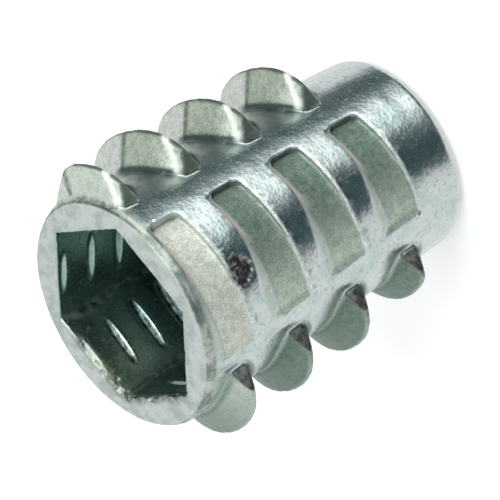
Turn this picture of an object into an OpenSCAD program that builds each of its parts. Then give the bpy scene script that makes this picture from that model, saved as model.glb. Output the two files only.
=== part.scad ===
// Threaded insert for wood: one zinc die casting.
// A tapered sleeve stands on its pilot end with its axis on Z. A hexagon socket
// for the key opens upward, and the bore for the machine screw runs on down.
// The coarse wood thread is cut into lobes that lie along the two parting lines
// of the die, on +Y and -Y, and shallow pockets take its place on +X and -X.

/* [Body] */
// Length of the insert from the pilot end to the mouth
body_length = 13; // [11:0.1:16]
// Diameter of the sleeve at the mouth
mouth_diameter = 8.64; // [8.3:0.02:9.4]
// Diameter of the sleeve at the pilot end
pilot_diameter = 7.16; // [6.9:0.02:8]
// Height of the eased outer edge round the mouth
mouth_edge_height = 0.44; // [0.1:0.02:0.5]
// How far the eased edge draws in at the mouth
mouth_edge_inset = 0.17; // [0.04:0.01:0.24]
// Radius of the rounded outer edge at the pilot end
pilot_edge_radius = 0.52; // [0.2:0.02:0.6]

/* [Hexagon socket] */
// Distance across the flats at the mouth, for a 6 mm key
socket_across_flats = 6.3; // [6.1:0.02:6.6]
// Depth of the socket
socket_depth = 4.8; // [3:0.1:6]
// Draft of each flat, in degrees
socket_draft = 1.8; // [0.5:0.1:2.5]
// Angle of the first corner from the X axis
socket_turn = -8.7; // [-30:0.1:30]

/* [Screw bore] */
// Diameter of the bore over the crests of a 1/4-20 internal thread
bore_diameter = 5.1; // [4.8:0.02:5.4]
// Width of the chamfer where the bore leaves the pilot end
bore_chamfer = 0.2; // [0.1:0.02:0.4]

/* [Wood thread] */
// Distance along the axis from one turn to the next
thread_pitch = 2.84; // [2.6:0.02:3]
// Distance from the mouth to the thread's middle line on the first lobe
first_lobe_depth = 0.43; // [0.3:0.01:0.8]
// Number of lobes, two to a turn
lobe_count = 8; // [2:1:8]
// How far each row of lobes stands round from the Y axis toward +X, in degrees
lobe_lean = 5; // [0:0.5:8]
// Half of the angle that a lobe spans round the sleeve
lobe_half_angle = 35; // [28:0.5:38]
// Height of a lobe over the sleeve in its middle
lobe_height = 1.25; // [0.8:0.01:1.5]
// Height at which the flanks would meet the crest at a lobe's end
lobe_end_height = 0.46; // [0.3:0.02:0.8]
// Lean of each flank, as thickness gained for each length down from the crest
flank_slope = 0.53; // [0.4:0.01:0.6]
// Thickness of a lobe at its crest
lobe_crest = 0.24; // [0.12:0.01:0.4]
// Extra thickness at the root where the halves of the die meet
lobe_ridge = 0.1; // [0:0.01:0.2]
// Radius of the fillet between a lobe and the sleeve
lobe_fillet = 0.28; // [0.1:0.01:0.35]
// Height of the last lobe as a share of the others
last_lobe_share = 0.7; // [0.5:0.02:1]

/* [Pockets] */
// Width of a pocket along the axis
pocket_width = 1.38; // [0.8:0.02:1.5]
// Angle from the middle of a pocket to its end nearer the mouth
pocket_start_angle = 36.6; // [25:0.1:40]
// Angle from the middle of the first pocket to its other end
first_pocket_end_angle = 43; // [30:0.1:44]
// Angle from the middle of the last pocket to its other end
last_pocket_end_angle = 35; // [30:0.1:44]
// How far a pocket lies deeper than the thread's middle line
pocket_offset = 0.24; // [0:0.02:0.4]
// Depth of a pocket at the end nearer the mouth
pocket_depth_start = 0.32; // [0.1:0.01:0.36]
// Depth of a pocket at its other end
pocket_depth_end = 0.1; // [0.08:0.01:0.3]
// Radius of a pocket's corners
pocket_corner = 0.34; // [0.1:0.02:0.38]
// How far the walls of a pocket lean in from top to floor
pocket_draft = 0.07; // [0.02:0.01:0.08]

/* [Hidden] */

// Sizes that only steer the drawing
overrun = 0.6;            // how far a cutter runs past the face it cuts
root_sink = 0.24;         // how far a lobe reaches into the sleeve
skin = 0.012;             // how far the foot of a fillet stays under the surface
edge_steps = 8;           // facets of a rounded edge
corner_steps = 4;         // facets of a pocket's corner
rim_gap = 0.2;           // how far the first lobe stays under the mouth's face
quarter = 90;

// Places of a lobe's cross-sections, as shares of its half angle. A lobe's end
// face runs from the last but one to the last place before the end.
lobe_places = [0, 0.17, 0.34, 0.48, 0.61, 0.73, 0.83, 0.91, 1, 1.01];
end_face_start = 0.83;
outline_power = 3.2;      // how squarely a lobe's outline falls toward its ends
lead_in_places = [-0.8, 0.1];   // places between which the first lobe rises
first_lobe_share = 0.94;  // height of the first lobe as a share of the others
last_lobe_fall = 0.24;    // how much the last lobe's crest falls from middle to end
last_lobe_run_out = 0.3;  // how much more it falls on the far side of its middle

mouth_radius = mouth_diameter / 2;
pilot_radius = pilot_diameter / 2;
bore_radius = bore_diameter / 2;
helix_start = first_lobe_depth + thread_pitch / 4;

// Radius of the sleeve at a depth below the mouth
function sleeve_radius(depth) =
    mouth_radius + (pilot_radius - mouth_radius) * depth / body_length;

// Depth of the thread's middle line after turning by an angle from +X.
function thread_depth(turned) = helix_start + thread_pitch * turned / 360;

// A point at a radius, an angle turned along the thread and a depth.
// The thread is right-handed: it goes deeper as it turns clockwise from above.
function wrapped(radius, turned, depth) =
    [radius * cos(turned), -radius * sin(turned), body_length - depth];

// Side and end faces of a run of rings that all have the same count of points
function ring_faces(rings, count) = concat(
    [for (i = [0 : rings - 2], k = [0 : count - 1])
        let (a = i * count + k, b = i * count + (k + 1) % count) [a, b, b + count]],
    [for (i = [0 : rings - 2], k = [0 : count - 1])
        let (a = i * count + k, b = i * count + (k + 1) % count) [a, b + count, a + count]],
    [for (k = [1 : count - 2]) [0, k + 1, k]],
    [for (k = [1 : count - 2]) let (a = (rings - 1) * count) [a, a + k, a + k + 1]]);

// ---- wood thread ----

// Height of the flanks' meeting line at a place, as a share of the middle's
function flank_outline(place) =
    1 - (1 - lobe_end_height / lobe_height) * pow(abs(place), outline_power);

// The first lobe rises from the mouth, and the last one is low and runs out
function flank_height(index, place) = lobe_height * (
    index == 0 ? flank_outline(place) * first_lobe_share * min(1, max(0.02,
        (place - lead_in_places[0]) / (lead_in_places[1] - lead_in_places[0])))
    : index == lobe_count - 1 ? min(flank_outline(place),
        last_lobe_share * (1 - last_lobe_fall * place)
        * (1 - last_lobe_run_out * pow(max(0, place), 1.5)))
    : flank_outline(place));

// Height of a lobe, which a steep face cuts off at either end
function lobe_top(index, place) =
    min(flank_height(index, place),
        flank_height(index, end_face_start * sign(place)) * (1 - abs(place)) / (1 - end_face_start));

// Angle turned from +X to a place on a lobe
function lobe_angle(index, place) =
    180 * index - 90 + lobe_lean * (index % 2 == 0 ? 1 : -1) + lobe_half_angle * place;

// One side of a lobe's cross-section, from inside the sleeve over the fillet and
// up the flank to the eased crest, as [height, distance from the middle]. The
// fillet is as large as the lobe's height and the room beside its root allow.
function lobe_side(root, meeting, top, room) =
    let (foot = min(-skin, top - 4 * skin),
         size = max(skin, min(lobe_fillet, top / 2, room / 0.59)),
         slope = (root - lobe_crest / 2) / meeting,
         ease = min(lobe_crest / 4, (top - foot) / 4),
         crest = root - slope * max(top, 0))
    [[-root_sink - skin, root + 0.59 * size],
     [foot, root + 0.59 * size],
     [foot + skin + 0.14 * size, root + 0.08 * size],
     [foot + skin + 0.52 * size, root - slope * (foot + skin + 0.52 * size)],
     [top - ease, crest],
     [top, crest - ease]];

// One cross-section of a lobe. The side toward the mouth stays under the mouth.
function lobe_ring(index, place) =
    let (turned = lobe_angle(index, place),
         depth = thread_depth(turned),
         radius = sleeve_radius(depth),
         meeting = flank_height(index, place),
         top = max(lobe_top(index, place), -root_sink / 4),
         root = lobe_crest / 2 + flank_slope * meeting + lobe_ridge * max(0, 1 - abs(place)),
         upper_root = min(root, depth - rim_gap),
         lower = lobe_side(root, meeting, top, lobe_fillet),
         upper = lobe_side(upper_root, meeting, top, depth - rim_gap - upper_root))
    concat([for (p = upper) wrapped(radius + p[0], turned, depth - p[1])],
           [for (i = [len(lower) - 1 : -1 : 0])
               wrapped(radius + lower[i][0], turned, depth + lower[i][1])]);

module thread_lobe(index) {
    count = len(lobe_places);
    all_places = concat([for (i = [count - 1 : -1 : 1]) -lobe_places[i]], lobe_places);
    places = index == 0
        ? concat([lead_in_places[0]], [for (p = all_places) if (p > lead_in_places[0] + 0.04) p])
        : all_places;
    rings = [for (place = places) lobe_ring(index, place)];
    polyhedron(points = [for (ring = rings, p = ring) p],
               faces = ring_faces(len(rings), len(rings[0])), convexity = 4);
}

// ---- pockets ----

// Outline of a pocket as pairs of [distance along it, half width], for a rounded
// rectangle that runs from a to b with half width w and corner radius c
function pocket_outline(a, b, w, c) = concat(
    [for (i = [0 : corner_steps]) let (t = quarter * i / corner_steps)
        [a + c * (1 - cos(t)), w - c * (1 - sin(t))]],
    [for (i = [1 : 7]) [a + c + (b - a - 2 * c) * i / 8, w]],
    [for (i = [corner_steps : -1 : 0]) let (t = quarter * i / corner_steps)
        [b - c * (1 - cos(t)), w - c * (1 - sin(t))]]);

module thread_pocket(index) {
    middle = 180 * index;
    radius = sleeve_radius(thread_depth(middle) + pocket_offset);
    end_angle = first_pocket_end_angle
        + (last_pocket_end_angle - first_pocket_end_angle) * index / (lobe_count - 2);
    start = -radius * pocket_start_angle * PI / 180;
    end = radius * end_angle * PI / 180;
    open = pocket_outline(start, end, pocket_width / 2, pocket_corner);
    low = pocket_outline(start + pocket_draft, end - pocket_draft,
                         pocket_width / 2 - pocket_draft, pocket_corner - pocket_draft);
    rings = [for (i = [0 : len(open) - 1])
        let (turned_open = open[i][0] / radius * 180 / PI,
             turned_low = low[i][0] / radius * 180 / PI,
             along = (low[i][0] - start) / (end - start),
             cut = pocket_depth_start + (pocket_depth_end - pocket_depth_start) * along,
             depth_open = thread_depth(middle + turned_open) + pocket_offset,
             depth_low = thread_depth(middle + turned_low) + pocket_offset,
             flare = overrun * pocket_draft / cut)
        [wrapped(sleeve_radius(depth_low) - cut, middle + turned_low, depth_low - low[i][1]),
         wrapped(sleeve_radius(depth_open) + overrun, middle + turned_open,
                 depth_open - open[i][1] - flare),
         wrapped(sleeve_radius(depth_open) + overrun, middle + turned_open,
                 depth_open + open[i][1] + flare),
         wrapped(sleeve_radius(depth_low) - cut, middle + turned_low, depth_low + low[i][1])]];
    polyhedron(points = [for (ring = rings, p = ring) p],
               faces = ring_faces(len(rings), 4), convexity = 4);
}

// ---- sleeve ----

module sleeve() {
    pilot_edge = [for (i = [0 : edge_steps]) let (t = quarter * i / edge_steps)
        [sleeve_radius(body_length - pilot_edge_radius) - pilot_edge_radius * (1 - sin(t)),
         pilot_edge_radius * (1 - cos(t))]];
    mouth_edge = [for (i = [0 : edge_steps / 2]) let (t = quarter * i / (edge_steps / 2))
        [mouth_radius - mouth_edge_inset * (1 - cos(t)),
         body_length - mouth_edge_height * (1 - sin(t))]];
    rotate_extrude($fn = 128)
        polygon(concat([[0, 0]], pilot_edge, mouth_edge, [[0, body_length]]));
}

module key_socket() {
    across_to_corner = 1 / sqrt(3);
    narrowing = 2 * tan(socket_draft);
    translate([0, 0, body_length - socket_depth])
        rotate([0, 0, socket_turn])
            cylinder(h = socket_depth + overrun,
                     r1 = (socket_across_flats - narrowing * socket_depth) * across_to_corner,
                     r2 = (socket_across_flats + narrowing * overrun) * across_to_corner, $fn = 6);
}

module screw_bore() {
    floor_z = body_length - socket_depth;
    lead = (socket_across_flats / 2 - tan(socket_draft) * socket_depth) - bore_radius - 0.1;
    translate([0, 0, -overrun])
        cylinder(h = floor_z + 2 * overrun, r = bore_radius, $fn = 96);
    translate([0, 0, -overrun])
        cylinder(h = bore_chamfer + overrun, r1 = bore_radius + bore_chamfer + overrun,
                 r2 = bore_radius, $fn = 96);
    translate([0, 0, floor_z - lead])
        cylinder(h = lead + overrun, r1 = bore_radius, r2 = bore_radius + lead + overrun, $fn = 96);
}

module insert_body() {
    color("lightsteelblue")
        difference() {
            union() {
                sleeve();
                for (k = [0 : lobe_count - 1]) thread_lobe(k);
            }
            for (k = [0 : lobe_count - 2]) thread_pocket(k);
            key_socket();
            screw_bore();
        }
}

insert_body();
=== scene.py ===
import math

import bpy
import numpy as np
from mathutils import Matrix, Vector, noise


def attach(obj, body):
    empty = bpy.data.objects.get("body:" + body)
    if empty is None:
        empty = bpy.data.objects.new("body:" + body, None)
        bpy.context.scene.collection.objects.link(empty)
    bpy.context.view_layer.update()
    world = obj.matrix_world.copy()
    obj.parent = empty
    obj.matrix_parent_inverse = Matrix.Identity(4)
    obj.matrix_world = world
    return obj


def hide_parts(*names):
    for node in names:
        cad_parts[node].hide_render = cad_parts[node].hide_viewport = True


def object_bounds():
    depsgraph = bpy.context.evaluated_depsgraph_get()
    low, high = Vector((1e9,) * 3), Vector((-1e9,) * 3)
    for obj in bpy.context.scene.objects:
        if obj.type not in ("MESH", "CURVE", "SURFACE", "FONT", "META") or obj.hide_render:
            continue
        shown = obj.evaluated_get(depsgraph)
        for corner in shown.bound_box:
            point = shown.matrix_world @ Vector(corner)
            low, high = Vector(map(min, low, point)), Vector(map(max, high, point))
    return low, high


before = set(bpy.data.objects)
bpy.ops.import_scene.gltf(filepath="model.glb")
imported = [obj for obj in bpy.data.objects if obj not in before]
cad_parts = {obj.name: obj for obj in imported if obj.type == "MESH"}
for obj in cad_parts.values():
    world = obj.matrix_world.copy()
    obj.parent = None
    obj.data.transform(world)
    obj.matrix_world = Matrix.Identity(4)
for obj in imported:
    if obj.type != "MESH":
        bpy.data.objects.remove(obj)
cad_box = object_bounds()

# The casting is shaped in millimetres and brought to metres at the end. Angles are in
# degrees. Depths are below the mouth, and heights are above the pilot end.
MM = 0.001

# ---- the sleeve, socket and bore ----
LENGTH = (cad_box[1].z - cad_box[0].z) / MM
MOUTH_RADIUS, PILOT_RADIUS = 4.32, 3.58
BORE_RADIUS = 2.55
SOCKET_TURN, SOCKET_CORNER = -8.7, 3.637     # angle and radius of the hexagon's first corner
SOCKET_BOTTOM = 8                            # the socket is above this height, the bore below
SOCKET_REACH, BORE_REACH = 3.72, 3.34        # their walls lie within these radii

# ---- the wood thread ----
WOOD_PITCH = 2.84
PARTING_ANGLE = 85                           # where the halves of the die meet, from +X
LEAD_IN_SWING = 9                            # how far the first lobe's foot is drawn out
LEAD_IN_PLACE = -112, -95, -86, -72          # the angles that this is done between
RIDGE_ANGLE, RIDGE_LEAN = 54, 9              # where the upper lobes turn down to their ends

# ---- the pockets, with angles from a pocket's middle ----
POCKET_WIDTH = 1.38
FIRST_POCKET_DEPTH = 1.38                    # of its middle on +X
LAST_POCKET_LIMITS = 10.75, 9.3              # no pocket is deeper, on +X and on -X
POCKET_START = 36.6                          # how far up its upper end is
FIRST_POCKET_END, LAST_POCKET_END = 43, 35   # how far down the lower ends are
FIRST_END_DEPTH, ENDS_SPAN = 1.4, 8.5        # depth of the first of them, and down to the last
FLOOR_AT_START, FLOOR_AT_END = 0.32, 0.10    # how deep a pocket is cut
RUN_OUT = 7                                  # its floor rises over this angle at the end
RAMP_WIDTH, RAMP_SPREAD = 0.2, 0.6           # its sloped side, and how much that widens
RAMP_FALL, RAMP_STEEPENS = 0.14, 0.06        # how far it falls, and how much more further down

# ---- the internal thread, 1/4-20 ----
SCREW_PITCH = 1.27
SCREW_MAJOR = 3.27
SCREW_START = 13.52                          # height of a groove's middle on +X
SCREW_TURNS = 12                             # from there down, with one more above
TAP_CORE = 2.34                              # the tap reaches from here out to SCREW_MAJOR
TAP_HALF_WIDTH, TAP_HALF_FLAT = 0.6, 0.07    # half its width at the core, and at its crest

# ---- wear ----
RAGGED_REACH = 0.30                          # how far from the socket's edge it is nibbled
RAGGED_PLACE = 182, 200, 290, 312            # between these angles from its first corner
BITE_OUT, BITE_DOWN = 0.2, 0.08              # how far a full bite moves the edge
CRUST_PLACE, CRUST_RADIUS = (4.15, -0.26, 10.49), 0.47
CRUST_STRETCH = 1, 1.45, 1.13                # its shape along X, Y and Z
RELIEF_HEIGHT = 0.0065                       # of the finest patterns, for their whole range

# ---- the mesh ----
VOXEL = 0.055                                # rounds the cast edges to about this radius
MOST_TRIANGLES = 190000


# ---- tools for shaping ----

def make_active(obj):
    """Selects one object and makes it the active one."""
    bpy.ops.object.select_all(action="DESELECT")
    obj.select_set(True)
    bpy.context.view_layer.objects.active = obj


def edit_all(obj):
    """Enters edit mode on one object, with all of it selected."""
    make_active(obj)
    bpy.ops.object.mode_set(mode="EDIT")
    bpy.ops.mesh.select_all(action="SELECT")


def leave_edit():
    """Goes back to object mode."""
    bpy.ops.object.mode_set(mode="OBJECT")


def apply_modifier(obj, kind, **settings):
    """Adds a modifier, sets it and applies it."""
    make_active(obj)
    modifier = obj.modifiers.new(kind.lower(), kind)
    for name, value in settings.items():
        setattr(modifier, name, value)
    bpy.ops.object.modifier_apply(modifier=modifier.name)


def resize_mesh(obj, factor):
    """Scales a mesh about the origin."""
    edit_all(obj)
    bpy.ops.transform.resize(value=(factor,) * 3, center_override=(0, 0, 0))
    leave_edit()


def read_points(obj, what="co"):
    """The places or normals of a mesh's vertices, one row each."""
    found = np.zeros(len(obj.data.vertices) * 3, np.float32)
    obj.data.vertices.foreach_get(what, found)
    return found.reshape(-1, 3).astype(float)


def write_points(obj, points):
    """Moves a mesh's vertices to the places given, one row each."""
    obj.data.vertices.foreach_set("co", points.astype(np.float32).ravel())
    obj.data.update()


def step(low, high, value):
    """0 at low and 1 at high, level past them and smooth between. Low may be the greater."""
    t = np.clip((value - low) / (high - low), 0, 1)
    return t * t * (3 - 2 * t)


def band(places, value):
    """0 up to the first of four places, 1 from the second to the third, and 0 again past
    the fourth."""
    start, full, fade, end = places
    return step(start, full, value) * step(end, fade, value)


# ---- where a point lies on the casting ----

def cone_radius(z):
    """Radius of the tapered sleeve at a height."""
    return PILOT_RADIUS + (MOUTH_RADIUS - PILOT_RADIUS) * z / LENGTH


def axis_distance(points):
    """How far each point lies from the axis."""
    return np.hypot(points[:, 0], points[:, 1])


def around(points):
    """The angle of each point turned along the thread from +X, and its depth."""
    return -np.degrees(np.arctan2(points[:, 1], points[:, 0])), LENGTH - points[:, 2]


def from_corner(points):
    """The angle of each point from the socket's first corner, the other way round."""
    return np.degrees(np.arctan2(points[:, 1], points[:, 0])) - SOCKET_TURN


def pocket_end(depth):
    """The angle of a pocket's lower end, which draws in down the sleeve."""
    return FIRST_POCKET_END + (LAST_POCKET_END - FIRST_POCKET_END) * (depth - FIRST_END_DEPTH) / ENDS_SPAN


def pocket_places(points):
    """For each point: how far it lies beyond the middle line of the pocket above it, its
    angle down from that pocket's middle, how deep the floor is cut there and whether a
    pocket is there."""
    turned, depth = around(points)
    beyond = np.mod(depth - FIRST_POCKET_DEPTH - WOOD_PITCH * turned / 360, WOOD_PITCH)
    down = np.mod(turned + 90, 180) - 90
    end = pocket_end(depth)
    share = np.clip((down + POCKET_START) / (POCKET_START + end), 0, 1)
    floor = FLOOR_AT_START + (FLOOR_AT_END - FLOOR_AT_START) * share
    floor *= 1 - 0.9 * step(end - RUN_OUT, end - 0.5, down)
    last = np.where(np.abs(turned) < 90, *LAST_POCKET_LIMITS)
    there = step(last, last - 0.2, depth) * step(end + 5, end + 3, down)
    return beyond, down, floor, there


def rim_distance(beyond):
    """How far below each point the rim of the next pocket is, less than 0 in that pocket."""
    return WOOD_PITCH - POCKET_WIDTH / 2 - beyond


def ramp_width(down):
    """How far a pocket's sloped side reaches onto the sleeve, wider further down."""
    return RAMP_WIDTH + RAMP_SPREAD * step(-20, 30, down)


def zones(points):
    """How much each point belongs to the socket and bore, the pockets and the lobes."""
    radius, z = axis_distance(points), points[:, 2]
    proud = radius - cone_radius(z)
    reach = np.where(z > SOCKET_BOTTOM, SOCKET_REACH, BORE_REACH)
    inside = step(0.06, -0.02, radius - reach) * step(LENGTH, LENGTH - 0.04, z) * step(0.0, 0.1, z)
    beyond, down, floor, there = pocket_places(points)
    across = np.abs(np.mod(beyond + WOOD_PITCH / 2, WOOD_PITCH) - WOOD_PITCH / 2)
    sunk = -proud / np.maximum(floor, 0.05)
    pocket = step(0.45, 0.8, sunk) * there * step(0.78, 0.7, across) * step(0.25, 0.4, LENGTH - z)
    pocket *= step(-40, -38, down) * (1 - inside)
    lobe = step(0.03, 0.14, proud)
    return inside, pocket, lobe


def flat_radius(points):
    """How far from the axis the socket's flats lie, toward each point."""
    from_middle = np.radians(np.mod(from_corner(points), 60) - 30)
    return SOCKET_CORNER * math.cos(math.pi / 6) / np.cos(from_middle)


def inside_edge(points):
    """How near each point lies to the socket's edge at the mouth, 1 on it."""
    out = axis_distance(points) - flat_radius(points)
    return np.clip(1 - np.hypot(out, (LENGTH - points[:, 2]) * 0.8) / RAGGED_REACH, 0, 1)


def ragged_side(points):
    """The far side of the socket's edge, which the trimming die nibbled."""
    return band(RAGGED_PLACE, np.mod(from_corner(points), 360))


def blemish(points):
    """How far each point lies within the crust between the first two pockets, 1 in its
    middle."""
    local = (points - np.array(CRUST_PLACE)) / np.array(CRUST_STRETCH)
    away = np.linalg.norm(local, axis=1) / CRUST_RADIUS
    near = away < 2.2
    away[near] += 0.2 * np.array([noise.noise(Vector(p) * 4.5) for p in points[near]])
    return step(1.05, 0.65, away)


# ---- the casting ----

def merged_copy(node, name):
    """A copy of a CAD node with its loose triangles joined, in millimetres."""
    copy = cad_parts[node].copy()
    copy.data = copy.data.copy()
    copy.parent = None
    copy.name = name
    for key in list(copy.keys()):
        del copy[key]
    bpy.context.scene.collection.objects.link(copy)
    resize_mesh(copy, 1 / MM)
    edit_all(copy)
    bpy.ops.mesh.remove_doubles(threshold=0.0005)
    leave_edit()
    return copy


def screw_tap():
    """A tap for the internal thread: the groove's section, wound up the axis."""
    low = SCREW_START - SCREW_PITCH * SCREW_TURNS
    bpy.ops.mesh.primitive_circle_add(vertices=4, radius=0.5, location=(0, 0, 0))
    tap = bpy.context.object
    section = [(TAP_CORE, -TAP_HALF_WIDTH), (SCREW_MAJOR, -TAP_HALF_FLAT),
               (SCREW_MAJOR, TAP_HALF_FLAT), (TAP_CORE, TAP_HALF_WIDTH)]
    for vertex, (radius, height) in zip(tap.data.vertices, section):
        vertex.co = (radius, 0, low + height)
    apply_modifier(tap, "SCREW", axis="Z", screw_offset=SCREW_PITCH, iterations=SCREW_TURNS + 1,
                   steps=96, render_steps=96, use_normal_calculate=False)
    edit_all(tap)
    bpy.ops.mesh.select_mode(type="EDGE")
    bpy.ops.mesh.select_all(action="DESELECT")
    bpy.ops.mesh.select_non_manifold()
    bpy.ops.mesh.edge_face_add()
    bpy.ops.mesh.select_all(action="SELECT")
    bpy.ops.mesh.normals_make_consistent(inside=False)
    leave_edit()
    return tap


def largest_shell(obj):
    """The mesh without the loose slivers that the tap leaves where it comes out."""
    name = obj.name
    edit_all(obj)
    bpy.ops.mesh.separate(type="LOOSE")
    leave_edit()
    shells = sorted(bpy.context.selected_objects, key=lambda shell: len(shell.data.vertices))
    for sliver in shells[:-1]:
        bpy.data.objects.remove(sliver)
    shells[-1].name = name
    return shells[-1]


def true_up(obj):
    """Brings the sleeve's facets to its cone, and the bore's to its cylinder."""
    points = read_points(obj)
    for true in (cone_radius(points[:, 2]), np.full(len(points), BORE_RADIUS)):
        radius = axis_distance(points)
        near = step(0.03, 0.016, np.abs(radius - true))
        points[:, :2] *= (1 + near * (true / radius - 1))[:, None]
    write_points(obj, points)


def thread_lead_in(obj):
    """The thread's start slopes up from the sleeve on the far side of the first lobe."""
    points = read_points(obj)
    turned, depth = around(points)
    radius = axis_distance(points)
    proud = radius - cone_radius(points[:, 2])
    swing = LEAD_IN_SWING * (1 - np.clip(proud, 0, 1)) * band(LEAD_IN_PLACE, turned)
    swing *= step(1.6, 0.9, depth) * step(-0.3, 0, proud)
    angle = np.radians(-(turned - swing))
    points[:, 0], points[:, 1] = radius * np.cos(angle), radius * np.sin(angle)
    write_points(obj, points)


def pocket_ramps(obj):
    """The side of a pocket toward the mouth slopes, the more gently the further down,
    and its lower end runs out to the sleeve without a step."""
    points = read_points(obj)
    inside, _, lobe = zones(points)
    beyond, down, floor, there = pocket_places(points)
    radius, cone = axis_distance(points), cone_radius(points[:, 2])
    clear_of_mouth = step(0.1, 0.3, LENGTH - points[:, 2])
    to_rim = rim_distance(beyond)
    fall = RAMP_FALL + RAMP_STEEPENS * step(-24, 8, down)
    # the slope carries on past the rim, down to the pocket's floor
    reach = np.clip(1 - to_rim / ramp_width(down), 0, 2.2) * (to_rim > -0.45)
    ramp = np.minimum(fall * reach ** 1.4, floor)
    ramp *= step(-36, -31, down) * clear_of_mouth
    sunk = np.where(cone - radius > floor, floor, cone - radius)
    level = cone - np.maximum(sunk, ramp * there)
    share = there * (1 - inside) * (1 - lobe) * (np.abs(down) < 60) * clear_of_mouth
    points[:, :2] *= (1 + share * (level / radius - 1))[:, None]
    write_points(obj, points)


def ragged_edge(obj):
    """Bites small uneven pieces from the socket's edge."""
    points = read_points(obj)
    radius = axis_distance(points)
    near = inside_edge(points) * (ragged_side(points) + 0.12)
    for i in np.nonzero(near > 0)[0]:
        p = Vector(points[i])
        bite = max(0, noise.noise(p * 3.4) * 0.9 + noise.noise(p * 7.5) * 0.5 + 0.05)
        away = np.array([p.x / radius[i] * BITE_OUT, p.y / radius[i] * BITE_OUT, -BITE_DOWN])
        points[i] += near[i] * bite * away
    write_points(obj, points)


def crust_pits(obj):
    """Small sharp pits and lumps where the plating has blistered."""
    points = read_points(obj)
    crust = blemish(points)
    for i in np.nonzero(crust > 0)[0]:
        p = Vector(points[i])
        lumps = noise.noise(p * 6.0) * 0.08 + noise.noise(p * 15.0) * 0.04 - 0.05
        outward = np.array([p.x, p.y, 0]) / math.hypot(p.x, p.y)
        points[i] += crust[i] * lumps * outward
    write_points(obj, points)


def group(obj, name, weights):
    """A vertex group with a weight for each vertex, to the nearest tenth."""
    made = obj.vertex_groups.new(name=name)
    for level in range(1, 11):
        chosen = np.nonzero(np.round(weights * 10) == level)[0]
        made.add([int(i) for i in chosen], level / 10, "REPLACE")
    return made.name


def roughen(obj, name, size, strength, weights, depth=1):
    """Moves the surface in and out by a cloud pattern of a size in mm."""
    clouds = bpy.data.textures.new(name, "CLOUDS")
    clouds.noise_scale = size
    clouds.noise_depth = depth
    apply_modifier(obj, "DISPLACE", texture=clouds, texture_coords="LOCAL", direction="NORMAL",
                   mid_level=0.5, strength=strength, vertex_group=group(obj, name, weights))


def tapped_casting():
    """The CAD node's shape as one even mesh, with the internal thread cut in it."""
    casting = merged_copy("insert_body", "insert_casting")
    tap = screw_tap()
    apply_modifier(casting, "BOOLEAN", operation="DIFFERENCE", solver="EXACT", object=tap)
    bpy.data.objects.remove(tap)
    apply_modifier(casting, "REMESH", mode="VOXEL", voxel_size=VOXEL, adaptivity=0)
    return largest_shell(casting)


def make_casting():
    """The casting, from the tapped solid to the uneven skin that the die left."""
    casting = tapped_casting()
    true_up(casting)
    apply_modifier(casting, "SMOOTH", factor=0.5, iterations=4)
    thread_lead_in(casting)
    pocket_ramps(casting)
    apply_modifier(casting, "SMOOTH", factor=0.4, iterations=2)
    ragged_edge(casting)
    crust_pits(casting)
    inside, pocket, lobe = zones(read_points(casting))
    skin = np.clip(0.25 + np.maximum(pocket, lobe), 0, 1) * (1 - inside)
    roughen(casting, "die_waves", 0.9, 0.024, 1 - inside)
    roughen(casting, "cast_skin", 0.28, 0.018, skin, depth=2)
    share = MOST_TRIANGLES / (2 * len(casting.data.polygons))
    apply_modifier(casting, "DECIMATE", ratio=min(1, share))
    resize_mesh(casting, MM)
    bpy.ops.object.shade_smooth()
    return casting


# ---- marks: where the casting is worn, cast, cut or dirty, each from 0 to 1 ----

# Four places are where a mark begins, is full, fades and ends.
# Angles turned along the thread from +X:
BELLY_SHADE_PLACE = 58, 78, 108, 128               # painted shade on the sleeve between the lower lobes
FOOT_SHADE_PLACE = -92, -84, -58, -50              # painted shade on the sleeve beside the upper lobes
FILLET_SHADE_PLACE = -74, -64, -56, -46            # painted shade on the fillets under their steep ends
# Angles the other way from +X:
GROOVE_SHADE_FLAT = 166, 174, 228, 236              # where the tap's grooves get the most painted shade
PALE_PATCH_PLACE = 190, 212, 224, 236
# An angle from a pocket's middle:
HIGH_END = -34, -31, -16, 4
# Distances up from a pocket's rim:
LIP_PLACE = -0.7, -0.6, 0.05, 0.14           # its wall, and the edge above it
HIGH_LIP_PLACE = -0.16, -0.1, 0.12, 0.2      # a bright edge at its upper end
# Distances beyond a pocket's middle line:
FAR_LIP_PLACE = 0.65, 0.69, 0.75, 0.79
FAR_SHADOW_LINE_PLACE = 0.77, 0.81, 0.84, 0.90
# Depths:
THREADED = 0.7, 1.6, 9.4, 10.8               # the part of the sleeve with the wood thread
NICK_PLACE = 0.02, 0.05, 0.1, 0.15           # dirty dents round the mouth


def spread(obj, values, rounds):
    """Values mixed with those of each vertex's neighbours. More rounds spread them further."""
    pairs = np.zeros(len(obj.data.edges) * 2, np.int32)
    obj.data.edges.foreach_get("vertices", pairs)
    a, b = pairs.reshape(-1, 2).T
    count = np.bincount(a, minlength=len(values)) + np.bincount(b, minlength=len(values))
    for _ in range(rounds):
        total = np.bincount(a, values[b], len(values)) + np.bincount(b, values[a], len(values))
        values = 0.5 * values + 0.5 * total / count
    return values


def bulge(obj, rounds):
    """How far each vertex stands out of its surroundings, in mm. More rounds take in more."""
    points = read_points(obj) / MM
    smoothed = np.stack([spread(obj, points[:, k], rounds) for k in range(3)], axis=1)
    return ((points - smoothed) * read_points(obj, "normal")).sum(1)


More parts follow.
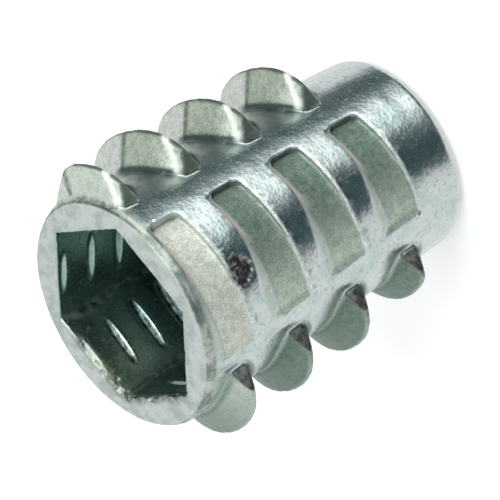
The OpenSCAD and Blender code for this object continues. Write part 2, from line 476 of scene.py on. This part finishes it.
class Survey:
    """Where each vertex of the finished mesh lies, and which way it faces."""

    def __init__(self, obj):
        self.points = points = read_points(obj) / MM
        self.inside, self.pocket, self.lobe = zones(points)
        self.turned, self.depth = around(points)
        self.beyond, self.down, _, self.there = pocket_places(points)
        self.to_rim = rim_distance(self.beyond)
        self.past_end = self.down - pocket_end(self.depth)
        radius, normals = axis_distance(points), read_points(obj, "normal")
        self.proud = radius - cone_radius(points[:, 2])
        self.outward = (normals[:, 0] * points[:, 0] + normals[:, 1] * points[:, 1]) / radius
        self.along_turn = (normals[:, 0] * points[:, 1] - normals[:, 1] * points[:, 0]) / radius
        self.near_socket = inside_edge(points)
        self.sleeve = (1 - self.inside) * (1 - self.lobe)
        self.threaded = band(THREADED, self.depth)
        self.beside_lobe = (1 - self.inside) * step(0.10, 0.32, spread(obj, self.lobe, 60))
        self.upper_side = self.turned < 0
        self.lower_side = step(0, 20, self.turned)


def socket_marks(obj, at):
    """The socket and bore: walls painted paler near the mouth, the tap's grooves, painted darker over
    what they mirror, most of all round one flat, a paler patch there, and the nibbled edge."""
    angle = np.mod(-at.turned, 360)
    # the tap has cut the wall in where it lies back from its surroundings
    cut_in = spread(obj, at.inside * step(0.006, 0.03, -bulge(obj, 25)), 8)
    return {
        "throat": at.inside * step(3.6, 0.6, at.depth),
        "groove": at.inside * step(0.06, 0.3, cut_in) * (0.25 + 0.75 * band(GROOVE_SHADE_FLAT, angle)),
        "pale_patch": at.inside * step(3.4, 0.8, at.depth) * band(PALE_PATCH_PLACE, angle),
        "burr": at.near_socket * ragged_side(at.points)}


def pocket_marks(at):
    """The pockets: floors that pale toward the lower end, the sloped side with its edges,
    and the far edge, nicked and with a painted highlight, with a painted shadow line beyond it."""
    clear_of_mouth = step(0.3, 0.5, at.depth)
    slope = at.sleeve * at.there * (1 - at.pocket) * clear_of_mouth
    ramp = step(0.95, 0.55, at.to_rim / ramp_width(at.down)) * step(-0.7, -0.6, at.to_rim)
    high_end = at.there * (1 - at.inside) * band(HIGH_END, at.down) * clear_of_mouth
    far_side = at.there * (1 - at.inside) * step(-34, -28, at.down) * step(1, -5, at.past_end)
    return {
        "first": at.pocket * step(3.1, 2.6, at.depth),
        "low_end": at.pocket * step(-14, 20, at.down),
        "ramp": slope * ramp * step(-30, -16, at.down) * step(0, -10, at.past_end),
        "lip": slope * band(LIP_PLACE, at.to_rim) * step(-37, -34, at.down) * step(-2, -8, at.past_end),
        "high_lip": high_end * band(HIGH_LIP_PLACE, at.to_rim),
        "far_lip": far_side * band(FAR_LIP_PLACE, at.beyond),
        "far_shadow_line": far_side * band(FAR_SHADOW_LINE_PLACE, at.beyond)}


def upper_lobe_marks(at):
    """The upper row of lobes, painted paler for the light on them: the parting line and the paler half past
    it, crests painted dark, a painted highlight on the ridge above an end painted in shade, and painted
    shade along the foot."""
    from_parting = np.abs(at.turned) - PARTING_ANGLE
    past_ridge = at.turned + RIDGE_ANGLE + RIDGE_LEAN * np.maximum(at.proud, 0) ** 1.3
    # painted shade on the fillets and on the sleeve beside the lobes
    fillet_shade = 0.4 * (1 - at.inside) * band(FILLET_SHADE_PLACE, at.turned)
    foot = np.maximum(fillet_shade, at.beside_lobe * band(FOOT_SHADE_PLACE, at.turned))
    return {
        "upper_row_light": at.lobe * step(0, -20, at.turned),
        "far_half": at.lobe * step(-0.6, 0.8, from_parting) * at.upper_side,
        "parting": at.lobe * step(2.2, 0.6, np.abs(from_parting)) * at.upper_side,
        "crest": at.lobe * at.upper_side * step(0.62, 0.85, at.outward) * step(-52, -60, at.turned),
        "tip_shade": at.upper_side * step(0.05, 0.12, at.proud) * step(1.2, 3.5, past_ridge),
        "streak_highlight": at.upper_side * step(0.04, 0.12, at.proud) * step(1.9, 0.7, np.abs(past_ridge)),
        "foot": at.upper_side * at.threaded * step(0.24, 0.14, at.proud) * foot}


def lower_lobe_marks(at):
    """The lower row of lobes, painted darker for the shade they mirror from under the part: end faces
    painted dark, crests with a painted highlight, and feet painted a mid tone over their shade and sheen.
    """
    past_end_face = step(-0.5, -0.2, at.along_turn)
    return {
        "lower_row_shade": at.lobe * step(40, 98, at.turned),
        "end_face_shade": at.lobe * at.lower_side * step(-0.3, -0.6, at.along_turn),
        "low_crest_highlight": at.lobe * at.lower_side * step(0.55, 0.85, at.outward) * past_end_face,
        "low_foot_shade": at.beside_lobe * at.lower_side * step(0.3, 0.12, at.proud) * past_end_face}


def sleeve_marks(obj, at):
    """The sleeve and its mouth, painted shade between the lower lobes, the edges, worn pale and with a
    painted highlight, painted shade in the hollows, and the crust.
    """
    dull_edges = at.lobe * np.where(at.upper_side, 1, 0.6)
    # less painted shade at the upper lobes' roots and on the lower side
    roots_with_less_shade = (1 - 0.8 * step(-66, -76, at.turned)) * (1 - 0.85 * at.lower_side)
    return {
        "belly_shade": at.sleeve * at.threaded * band(BELLY_SHADE_PLACE, at.turned),
        "rim": at.sleeve * step(0.62, 0.4, at.depth),
        "face": (1 - at.inside) * step(0.06, 0.03, at.depth),
        "nick": at.sleeve * band(NICK_PLACE, at.depth) * step(-8, -22, at.turned),
        "edge": step(0.008, 0.03, bulge(obj, 8)) * (1 - at.near_socket) * (1 - at.inside) * (1 - dull_edges),
        "hollow_shade": step(0.02, 0.26, -bulge(obj, 260)) * roots_with_less_shade,
        "crust": blemish(at.points)}


def keep_marks(obj):
    """Keeps the marks on the mesh for its material, and returns their names."""
    at = Survey(obj)
    marks = {"inside": at.inside, "pocket": at.pocket, "lobe": at.lobe,
             **socket_marks(obj, at), **pocket_marks(at), **upper_lobe_marks(at),
             **lower_lobe_marks(at), **sleeve_marks(obj, at)}
    for name, values in marks.items():
        attribute = obj.data.attributes.new(name, "FLOAT", "POINT")
        attribute.data.foreach_set("value", values.astype(np.float32))
    return list(marks)


# ---- materials ----

def linear(text):
    """An sRGB hex colour as linear RGBA."""
    parts = [int(text[i:i + 2], 16) / 255 for i in (0, 2, 4)]
    return tuple(c / 12.92 if c <= 0.04045 else ((c + 0.055) / 1.055) ** 2.4 for c in parts) + (1,)


def add(tree, kind, sockets=None, **settings):
    """Adds a node with its settings, and fills its sockets with values or links."""
    node = tree.nodes.new("ShaderNode" + kind)
    for name, value in settings.items():
        setattr(node, name, value)
    for socket, value in (sockets or {}).items():
        if isinstance(value, bpy.types.NodeSocket):
            tree.links.new(value, node.inputs[socket])
        else:
            node.inputs[socket].default_value = value
    return node


def new_material(name):
    """A material with an empty node tree."""
    material = bpy.data.materials.new(name)
    material.use_nodes = True
    material.node_tree.nodes.clear()
    return material


def lay_on(tree, colour, layers):
    """Lays colours over one another, from the bottom up. A layer gives where it is, how
    much of what is under it it hides, and its colour."""
    for where, share, over in layers:
        cover = add(tree, "Math", {0: where, 1: share}, operation="MULTIPLY").outputs[0]
        colour = add(tree, "Mix", {"Factor": cover, 6: colour, 7: over}, data_type="RGBA").outputs[2]
    return colour


def zinc_noises(tree, mm):
    """The zinc's uneven patterns, each as raw noise. A scale is in patterns for each mm."""
    # Scratches run round the sleeve, so their pattern is pressed together along Z
    round_mm = add(tree, "Mapping", {"Vector": mm, "Scale": (1, 1, 6)}).outputs[0]
    noises = {}
    for name, vector, scale, detail, roughness in (
            ("grain", mm, 7.0, 2.0, 0.5),          # fine pits, 0.14 mm apart
            ("scratch", round_mm, 2.6, 2.0, 0.5),  # 0.4 mm long and 0.06 mm apart
            ("blotch", mm, 1.6, 4.0, 0.65),        # stains, 0.6 mm apart
            ("mottle", mm, 3.6, 4.0, 0.65),        # the cast skin's mottles, 0.3 mm apart
            ("tooth", mm, 17.0, 2.0, 0.7),         # its tooth, coarser than real so that it shows
            ("pores", mm, 5.5, 1.0, 0.5)):         # pores in the crust, 0.2 mm apart
        noises[name] = add(tree, "TexNoise", {"Vector": vector, "Scale": scale, "Detail": detail,
                                              "Roughness": roughness}).outputs["Fac"]
    return noises


def zinc_patterns(tree, mm, noises):
    """The patches in which one tone shows through another, each from 0 to 1."""
    height = add(tree, "SeparateXYZ", {"Vector": mm}).outputs["Z"]
    # the cast skin's tooth shows on its mottles
    toothed = add(tree, "Math", {0: noises["tooth"], 1: 1.4, 2: noises["mottle"]},
                  operation="MULTIPLY_ADD").outputs[0]
    patterns = {}
    for name, source, low, high in (
            ("blotchy", noises["blotch"], 0.42, 0.62),
            ("mottled", noises["mottle"], 0.40, 0.62),
            ("toothy", toothed, 0.88, 1.55),
            ("specks", noises["grain"], 0.56, 0.70),
            ("flecks", noises["pores"], 0.50, 0.66),
            ("near_mouth", height, 9.6, 11.6)):
        patterns[name] = add(tree, "MapRange", {"Value": source, "From Min": low, "From Max": high},
                             interpolation_type="SMOOTHSTEP").outputs[0]
    return patterns


def zinc_finishes(tree, patterns):
    """Each finish is two tones of zinc, one showing through the other in patches."""
    finishes = {}
    for name, patches, tone, second_tone in (
            ("plate", "blotchy", "cbd4d2", "b9cbc8"),      # the rubbed sleeve
            ("sage", "toothy", "8c9c91", "60766a"),        # the cast skin
            ("shaded", "mottled", "7d9186", "687f75"),     # painted shade on the sleeve between the lower lobes
            ("rubbed", "toothy", "d6e3d5", "a9bbab"),      # a pocket's lower end
            ("pale", "toothy", "d6ddd4", "b3c0b5"),        # cast skin near the mouth
            ("bright", "toothy", "fbfaf2", "d0d5cb"),      # the first pocket's floor
            ("olive", "toothy", "c9d0c2", "93a093"),       # the upper lobes, painted paler for the softbox's light on them
            ("far", "toothy", "dde0dd", "b7beb8"),         # their halves past the parting line
            ("cream", "toothy", "dfdbd1", "c2c8bd"),       # a pocket's edge toward the mouth
            ("nicked_and_highlit", "toothy", "fafdf8", "a6aea8"),      # a pocket's far edge, nicked, with a painted highlight
            ("valley", "blotchy", "bcc5bc", "63786f"),     # the ring round the mouth
            ("face", "blotchy", "c5cecb", "b5bfbc"),       # its end face
            ("seam", "mottled", "3d493f", "7b8a7c"),       # the parting line and dents
            ("dusk", "mottled", "7a7773", "414340"),       # painted shade on the lower lobes' end faces
            ("cut", "mottled", "7f9694", "26302f"),        # the tap's grooves, painted dark over what they mirror
            ("burr", "mottled", "a8a698", "475048"),       # the socket's nibbled edge
            ("oxide", "flecks", "2f2b2e", "989593")):      # the crust
        finishes[name] = add(tree, "Mix", {"Factor": patterns[patches], 6: linear(tone),
                                           7: linear(second_tone)}, data_type="RGBA").outputs[2]
    return finishes


def skin_colour(tree, worn, patterns, finishes):
    """The dull skin of the cast pockets and lobes."""
    return lay_on(tree, finishes["sage"], (
        (worn["low_end"], 1.0, finishes["rubbed"]),
        # painted light: the upper lobes paler, as the softbox lights them more
        (worn["upper_row_light"], 0.85, finishes["olive"]),
        (patterns["near_mouth"], 0.9, finishes["pale"]),
        (worn["first"], 0.9, finishes["bright"]),
        (worn["far_half"], 0.85, finishes["far"]),
        (worn["parting"], 0.8, finishes["seam"])))


def zinc_colour(tree, worn, cast, patterns, finishes):
    """The plate's colour, with the cast skin, the socket, the wear and the painted light and shade laid on
    it.
    """
    return lay_on(tree, finishes["plate"], (
        (patterns["specks"], 0.25, linear("42544d")),
        # painted shade: the sleeve between the lower lobes darker
        (worn["belly_shade"], 0.85, finishes["shaded"]),
        (cast, 1.0, skin_colour(tree, worn, patterns, finishes)),
        # painted shade: the lower lobes darker, for the shade they mirror from under the part
        (worn["lower_row_shade"], 0.8, linear("678074")),
        (worn["rim"], 0.85, finishes["valley"]),
        (worn["face"], 0.85, finishes["face"]),
        # painted shade: the socket and bore darker green inside
        (worn["inside"], 1.0, linear("839d98")),
        # painted light: the walls paler near the mouth
        (worn["throat"], 0.8, linear("a9c0b8")),
        # a paler patch on those flats near the mouth
        (worn["pale_patch"], 0.9, linear("dde3cf")),
        # painted shade over the grooves' reflections, most round one flat
        (worn["groove"], 0.9, finishes["cut"]),
        (worn["ramp"], 0.6, finishes["pale"]),
        (worn["lip"], 0.5, finishes["cream"]),
        (worn["high_lip"], 0.85, linear("f1ece5")),
        # edges worn pale, partly a painted highlight
        (worn["edge"], 0.75, linear("dedbd5")),
        # painted shadow line beyond each pocket's far edge
        (worn["far_shadow_line"], 0.45, linear("3d4a4a")),
        # the far edge nicked, with a painted highlight
        (worn["far_lip"], 0.85, finishes["nicked_and_highlit"]),
        # painted shade in the hollows
        (worn["hollow_shade"], 0.75, linear("42544d")),
        # painted shade along the upper lobes' feet
        (worn["foot"], 0.9, linear("3a4a45")),
        # painted shade on the upper lobes' steep ends
        (worn["tip_shade"], 0.6, linear("647468")),
        # painted shade: the upper lobes' crests dark, as they mirror the dark room
        (worn["crest"], 0.75, linear("4c5b52")),
        # painted highlight along the upper lobes' ridges
        (worn["streak_highlight"], 0.9, linear("f3f6f3")),
        # painted highlight: the lower lobes' crests paler
        (worn["low_crest_highlight"], 0.45, linear("bccbc2")),
        # painted shade: a mid tone on the lower lobes' feet, in place of the shade and white sheen they
        # mirror
        (worn["low_foot_shade"], 0.65, linear("8fa398")),
        # painted shade: the lower lobes' end faces dark, as they mirror the dark room
        (worn["end_face_shade"], 0.85, finishes["dusk"]),
        (worn["nick"], 0.75, finishes["seam"]),
        (worn["burr"], 0.85, finishes["burr"]),
        (worn["crust"], 0.95, finishes["oxide"])))


def zinc_roughness(tree, worn, patterns):
    """The plate is glossy but for its specks, and what is cast or worn is duller."""
    rough = add(tree, "Math", {0: patterns["specks"], 1: 0.12, 2: 0.24},
                operation="MULTIPLY_ADD").outputs[0]
    for name, more in (("rim", 0.2), ("lobe", 0.22), ("pocket", 0.34), ("first", 0.18),
                       ("crust", 0.3), ("groove", 0.28), ("edge", 0.25), ("ramp", 0.22),
                       ("far_lip", 0.12), ("lip", 0.1), ("high_lip", 0.45), ("streak_highlight", 0.2),
                       ("foot", 0.2), ("low_foot_shade", 0.3), ("burr", 0.4)):
        rough = add(tree, "Math", {0: worn[name], 1: more, 2: rough},
                    operation="MULTIPLY_ADD").outputs[0]
    return rough


def zinc_relief(tree, worn, cast, noises):
    """A relief a few microns deep: grain and faint scratches everywhere, mottles on the
    cast skin, and all of it a fifth as strong in the smoother socket."""
    scored = add(tree, "Math", {0: noises["scratch"], 1: 0.1, 2: noises["grain"]},
                 operation="MULTIPLY_ADD").outputs[0]
    relief = add(tree, "Math", {0: noises["mottle"], 1: cast, 2: scored},
                 operation="MULTIPLY_ADD").outputs[0]
    strength = add(tree, "MapRange", {"Value": worn["inside"], "To Min": 1.0, "To Max": 0.22}).outputs[0]
    return add(tree, "Bump", {"Height": relief, "Strength": strength,
                              "Distance": RELIEF_HEIGHT * MM}).outputs[0]


def zinc_plate(marks):
    """Zinc plating on a zinc die casting, tumbled in a barrel. The sleeve is rubbed
    bright with fine pits and scratches. The cast pockets and lobes keep a dull,
    mottled skin, and the socket is smoother, and painted a darker green for its shade."""
    material = new_material("zinc_plate_on_die_casting")
    tree = material.node_tree
    place = add(tree, "TexCoord").outputs["Object"]
    mm = add(tree, "Mapping", {"Vector": place, "Scale": (1 / MM,) * 3}).outputs[0]
    worn = {name: add(tree, "Attribute", attribute_name=name).outputs["Fac"] for name in marks}
    cast = add(tree, "Math", {0: worn["pocket"], 1: worn["lobe"]}, operation="MAXIMUM").outputs[0]
    noises = zinc_noises(tree, mm)
    patterns = zinc_patterns(tree, mm, noises)
    finishes = zinc_finishes(tree, patterns)
    surface = add(tree, "BsdfPrincipled", {
        "Base Color": zinc_colour(tree, worn, cast, patterns, finishes),
        "Metallic": 1.0,
        "Roughness": zinc_roughness(tree, worn, patterns),
        "Normal": zinc_relief(tree, worn, cast, noises)}).outputs[0]
    add(tree, "OutputMaterial", {"Surface": surface})
    return material


def white_paper():
    """Matt white paper, which is full white to the camera but for the soft shadow."""
    material = new_material("white_paper")
    tree = material.node_tree
    paper = add(tree, "BsdfDiffuse", {"Color": (0.8, 0.8, 0.8, 1)})
    glow = add(tree, "Emission", {"Color": (1, 1, 1, 1), "Strength": 0.4})
    both = add(tree, "AddShader", {0: paper.outputs[0], 1: glow.outputs[0]})
    seen = add(tree, "LightPath").outputs["Is Camera Ray"]
    mixed = add(tree, "MixShader", {"Fac": seen, 1: paper.outputs[0], 2: both.outputs[0]})
    add(tree, "OutputMaterial", {"Surface": mixed.outputs[0]})
    return material


# ---- floor and light, with lengths in metres ----

FLOOR_RADIUS = 0.6
KEY = Vector((0.693, 0.721, 0.0))            # direction of the key light's softbox
DARK_SIDE = Vector((0.809, 0.588, 0.0))      # direction of the middle of the room's dark side
DARK_ROOM = 0.058, 0.092, 0.102, 1           # a little blue, as daylight fills it
BACKDROP_EDGE = 0.24, 0.09                   # cosines of the angle from DARK_SIDE
# Cosines of the angle from KEY, each with the softbox's brightness there, which is
# greatest just inside its edge
SOFTBOX = (0.72, 0.0), (0.80, 2.5), (0.845, 2.5), (0.92, 1.2)
LAMP_OUT, LAMP_HEIGHT, LAMP_SIZE, LAMP_WATTS = 0.12, 0.16, 0.16, 0.22


def add_floor():
    """A white floor that takes the shadow. The metal doesn't mirror it: the studio stands
    for it there, white on the backdrop's side and dark on the other."""
    bpy.ops.mesh.primitive_circle_add(vertices=64, radius=FLOOR_RADIUS, fill_type="NGON",
                                      location=(0, 0, 0))
    floor = bpy.context.object
    floor.name = "floor"
    floor.visible_glossy = False
    floor.data.materials.append(white_paper())


def softbox_light(tree, direction):
    """The softbox's brightness in each direction, as a colour."""
    to_key = add(tree, "VectorMath", {0: direction, 1: KEY}, operation="DOT_PRODUCT").outputs["Value"]
    softbox = add(tree, "ValToRGB", {"Fac": to_key})
    elements = softbox.color_ramp.elements
    while len(elements) < len(SOFTBOX):
        elements.new(0.5)
    for element, (position, value) in zip(elements, SOFTBOX):
        element.position, element.color = position, (value, value, value, 1)
    return softbox.outputs["Color"]


def backdrop_share(tree, direction):
    """1 toward the white backdrop and 0 toward the room's dark side."""
    to_dark = add(tree, "VectorMath", {0: direction, 1: DARK_SIDE}, operation="DOT_PRODUCT").outputs["Value"]
    begins, full = BACKDROP_EDGE
    return add(tree, "MapRange", {"Value": to_dark, "From Min": begins, "From Max": full},
               interpolation_type="SMOOTHSTEP").outputs[0]


def shown_white(tree, backdrop):
    """Which rays see plain white: the camera's all round, and the metal's on the backdrop."""
    path = add(tree, "LightPath")
    mirrored = add(tree, "Math", {0: path.outputs["Is Glossy Ray"], 1: path.outputs["Is Transmission Ray"]},
                   operation="MAXIMUM").outputs[0]
    mirrored = add(tree, "Math", {0: mirrored, 1: backdrop}, operation="MULTIPLY").outputs[0]
    return add(tree, "Math", {0: path.outputs["Is Camera Ray"], 1: mirrored}, operation="MAXIMUM").outputs[0]


def studio():
    """A softbox on the key side, in front of the dark side of the room, and a white
    backdrop round the other side, which metal shows as the camera does."""
    world = bpy.data.worlds.new("studio")
    world.use_nodes = True
    tree = world.node_tree
    tree.nodes.clear()
    direction = add(tree, "TexCoord").outputs["Generated"]
    backdrop = backdrop_share(tree, direction)
    room = add(tree, "Mix", {"Factor": backdrop, 6: DARK_ROOM, 7: (1, 1, 1, 1)},
               data_type="RGBA").outputs[2]
    lit = add(tree, "Mix", {"Factor": 1.0, 6: room, 7: softbox_light(tree, direction)},
              data_type="RGBA", blend_type="ADD").outputs[2]
    surroundings = add(tree, "Background", {"Color": lit, "Strength": 1.0}).outputs[0]
    white = add(tree, "Background", {"Color": (1, 1, 1, 1), "Strength": 1.0}).outputs[0]
    mixed = add(tree, "MixShader", {"Fac": shown_white(tree, backdrop), 1: surroundings, 2: white})
    add(tree, "OutputWorld", {"Surface": mixed.outputs[0]})
    return world


def add_lamp():
    """A disk lamp on the key side, which gives the soft shadow."""
    place = (LAMP_OUT * KEY.x, LAMP_OUT * KEY.y, LAMP_HEIGHT)
    bpy.ops.object.light_add(type="AREA", location=place)
    lamp = bpy.context.object
    lamp.data.shape = "DISK"
    lamp.data.size = LAMP_SIZE
    lamp.data.energy = LAMP_WATTS
    lamp.rotation_euler = (-lamp.location).to_track_quat("-Z", "Y").to_euler()


# ---- camera, with lengths in mm ----

CAMERA_SIDE = math.radians(7)                # the part's side toward the camera, from +X
LEAN = math.radians(57.577)                  # of the line of sight from the part's axis
ROLL = math.radians(31.253)                  # of the camera about its line of sight
DISTANCE = 300.0
SHIFT_RIGHT, SHIFT_DOWN = 0.2757, -0.634     # of the part's middle in the view
PIXELS_PER_MM, IMAGE_PIXELS = 29.059, 500
SENSOR_WIDTH = 36


def add_camera():
    """The camera looks down into the mouth at a slant, from the side with more pockets."""
    toward = Vector((math.cos(CAMERA_SIDE), math.sin(CAMERA_SIDE), 0))
    across = Vector((math.sin(CAMERA_SIDE), -math.cos(CAMERA_SIDE), 0))
    low = Vector((0, 0, -1))
    along = low * math.sin(LEAN) + toward * math.cos(LEAN)
    sight = low * math.cos(LEAN) - toward * math.sin(LEAN)
    right = along * math.cos(ROLL) + across * math.sin(ROLL)
    down = -along * math.sin(ROLL) + across * math.cos(ROLL)
    target = Vector((0, 0, LENGTH / 2)) - SHIFT_RIGHT * right - SHIFT_DOWN * down
    bpy.ops.object.camera_add(location=(target - DISTANCE * sight) * MM)
    camera = bpy.context.object
    camera.data.sensor_width = SENSOR_WIDTH
    camera.data.lens = PIXELS_PER_MM * DISTANCE / IMAGE_PIXELS * SENSOR_WIDTH
    camera.data.clip_start, camera.data.clip_end = 0.01, 10
    camera.rotation_euler = Matrix((right, -down, -sight)).transposed().to_euler()
    return camera


# ---- the scene ----

casting = make_casting()
casting.data.materials.clear()
casting.data.materials.append(zinc_plate(keep_marks(casting)))
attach(casting, "root")
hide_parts("insert_body")

add_floor()
bpy.context.scene.world = studio()
bpy.context.scene.camera = add_camera()
add_lamp()
bpy.context.scene.view_settings.view_transform = "Standard"
